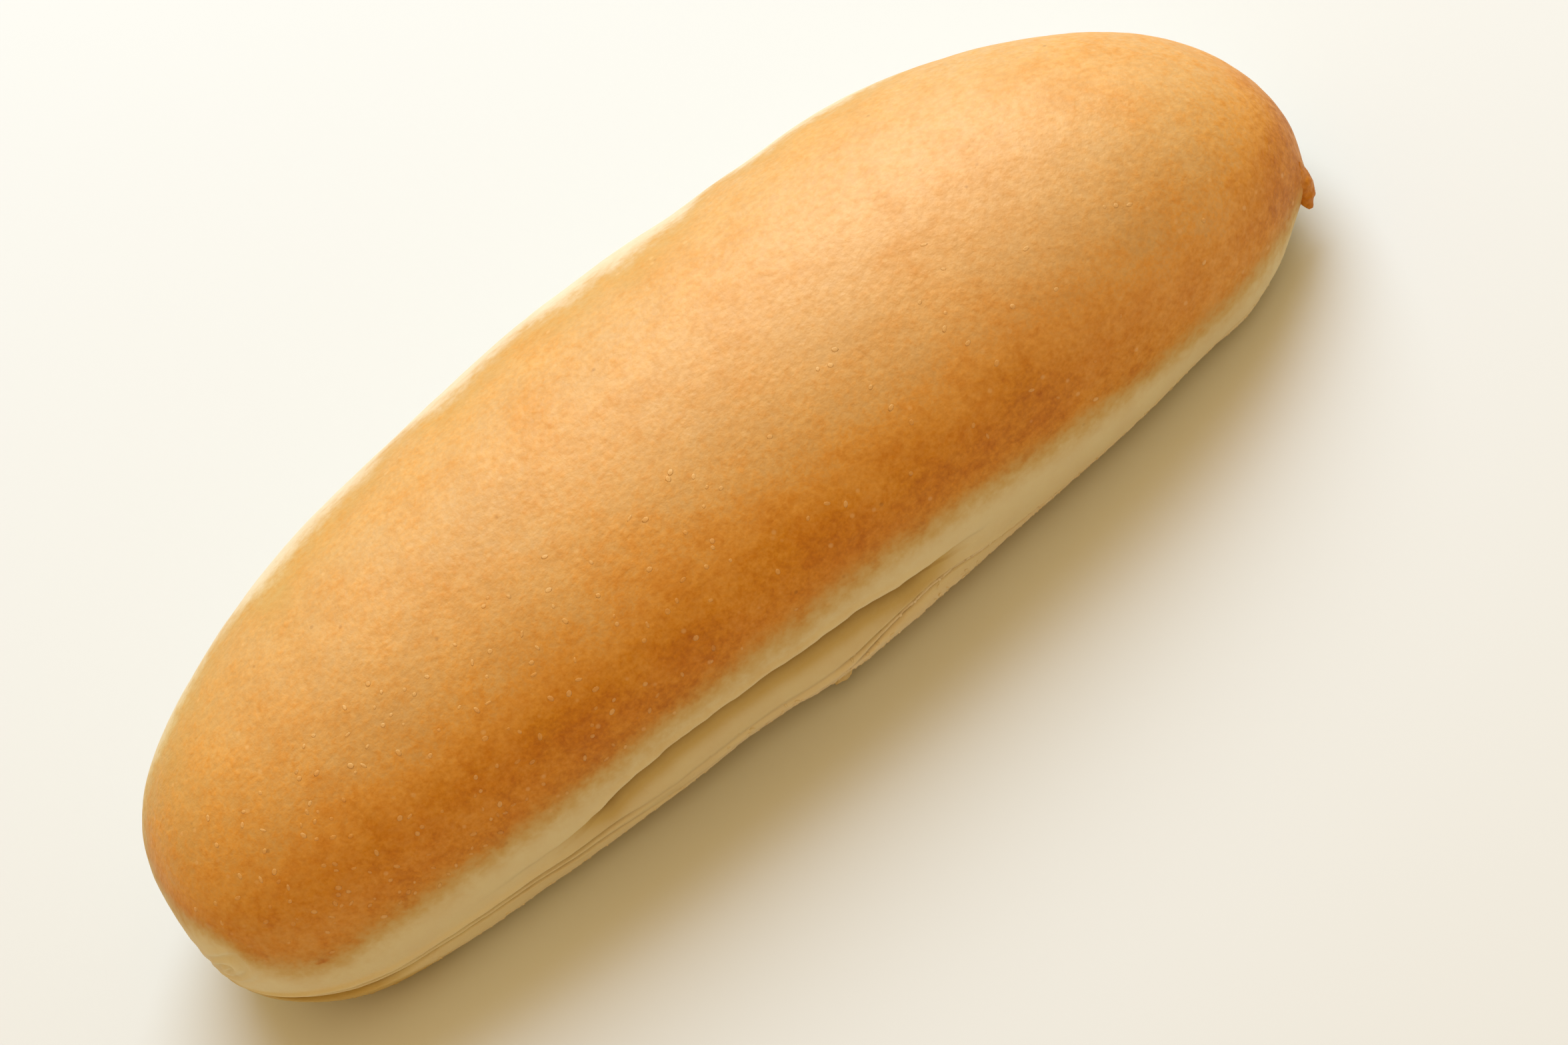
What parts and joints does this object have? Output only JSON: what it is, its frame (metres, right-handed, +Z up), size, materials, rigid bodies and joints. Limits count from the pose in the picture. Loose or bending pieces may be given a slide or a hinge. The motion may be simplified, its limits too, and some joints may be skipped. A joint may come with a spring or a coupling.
{
  "type": "hoagie roll",
  "caption": "Long soft white bread roll with a domed golden-brown crust, a pale crease over its flat-bottomed heel and a small tail of dough at one end.",
  "frame": {"origin": "middle of the roll's box, on the surface that its base lies on", "axes": "+X along the roll towards the end with the dough tail, +Z up from the base, -Y the side with the open crease"},
  "size_m": [0.203, 0.0736, 0.05],
  "materials": {
    "crust": "satin browned crust, paler towards the heel"
  },
  "bodies": {
    "root": {"hoagie_roll": "crust"}
  },
  "joints": []
}
